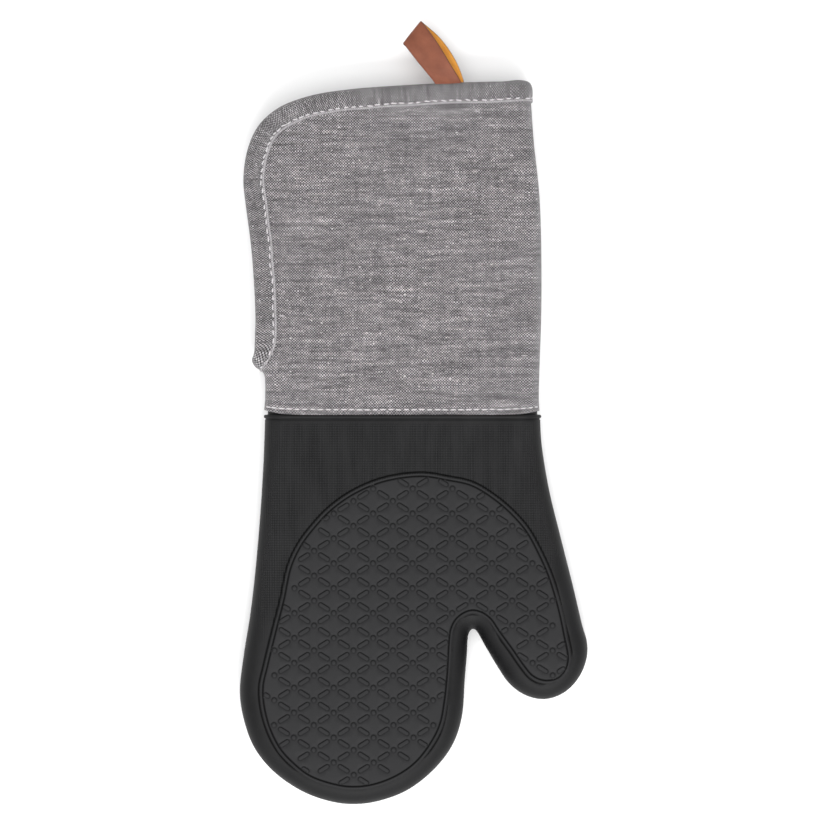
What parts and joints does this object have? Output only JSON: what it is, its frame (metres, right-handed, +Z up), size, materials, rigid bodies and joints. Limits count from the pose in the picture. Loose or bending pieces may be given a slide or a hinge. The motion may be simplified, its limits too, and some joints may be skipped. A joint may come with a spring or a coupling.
{
  "type": "oven mitt",
  "caption": "Long oven mitt with a moulded silicone hand and thumb, raised grip pads, a quilted cotton cuff with bound edges and a leather hanging loop.",
  "frame": {"origin": "centre of the footprint, on the surface the mitt lies on", "axes": "+Y from the fingertips to the mouth of the cuff, +X towards the thumb, +Z up out of the palm side; the mitt lies on its back"},
  "size_m": [0.183, 0.412, 0.0257],
  "materials": {
    "silicone": "matt, finely ribbed",
    "cuff_cloth": "melange plain weave",
    "binding_cloth": "melange plain weave, cut across",
    "wadding": "fluffy",
    "lining": "plain weave",
    "thread": "polyester thread",
    "leather": "smooth, slightly glossy",
    "backing": "matt, felt-like"
  },
  "bodies": {
    "hand": {"silicone_hand": "silicone", "wadding_hand_front": "wadding", "wadding_hand_back": "wadding", "lining_hand_front": "lining", "lining_hand_back": "lining"},
    "fingers": {"silicone_fingers": "silicone", "wadding_fingers_front": "wadding", "wadding_fingers_back": "wadding", "lining_fingers_front": "lining", "lining_fingers_back": "lining"},
    "thumb": {"silicone_thumb": "silicone", "wadding_thumb_front": "wadding", "wadding_thumb_back": "wadding", "lining_thumb_front": "lining", "lining_thumb_back": "lining"},
    "cuff": {"cuff_fabric_front": "cuff_cloth", "cuff_fabric_back": "cuff_cloth", "cuff_wadding_front": "wadding", "cuff_wadding_back": "wadding", "cuff_lining_front": "lining", "cuff_lining_back": "lining", "edge_binding": "binding_cloth", "loop_sewn_ends": "leather", "binding_thread_front": "thread", "binding_thread_back": "thread", "hem_thread_front": "thread", "hem_thread_back": "thread"},
    "loop": {"loop_leather": "leather", "loop_backing": "backing"}
  },
  "joints": [
    {"name": "knuckle_flex", "type": "hinge", "parent": "hand", "child": "fingers", "pos_m": [-0.03, -0.11, 0.02575], "axis": [-1, 0, 0], "range_deg": [0, 60], "stiffness_Nm_per_rad": 1},
    {"name": "thumb_flex", "type": "hinge", "parent": "hand", "child": "thumb", "pos_m": [0.031, -0.11, 0.02575], "axis": [-0.9063, -0.4226, 0], "range_deg": [0, 50], "stiffness_Nm_per_rad": 0.5},
    {"name": "cuff_fold", "type": "hinge", "parent": "hand", "child": "cuff", "pos_m": [-0.006, 0, 0.02575], "axis": [1, 0, 0], "range_deg": [0, 60], "stiffness_Nm_per_rad": 1},
    {"name": "loop_swing", "type": "hinge", "parent": "cuff", "child": "loop", "pos_m": [0.0185, 0.1742, 0.01952], "axis": [1, 0, 0], "range_deg": [-35, 35], "stiffness_Nm_per_rad": 0.01}
  ]
}
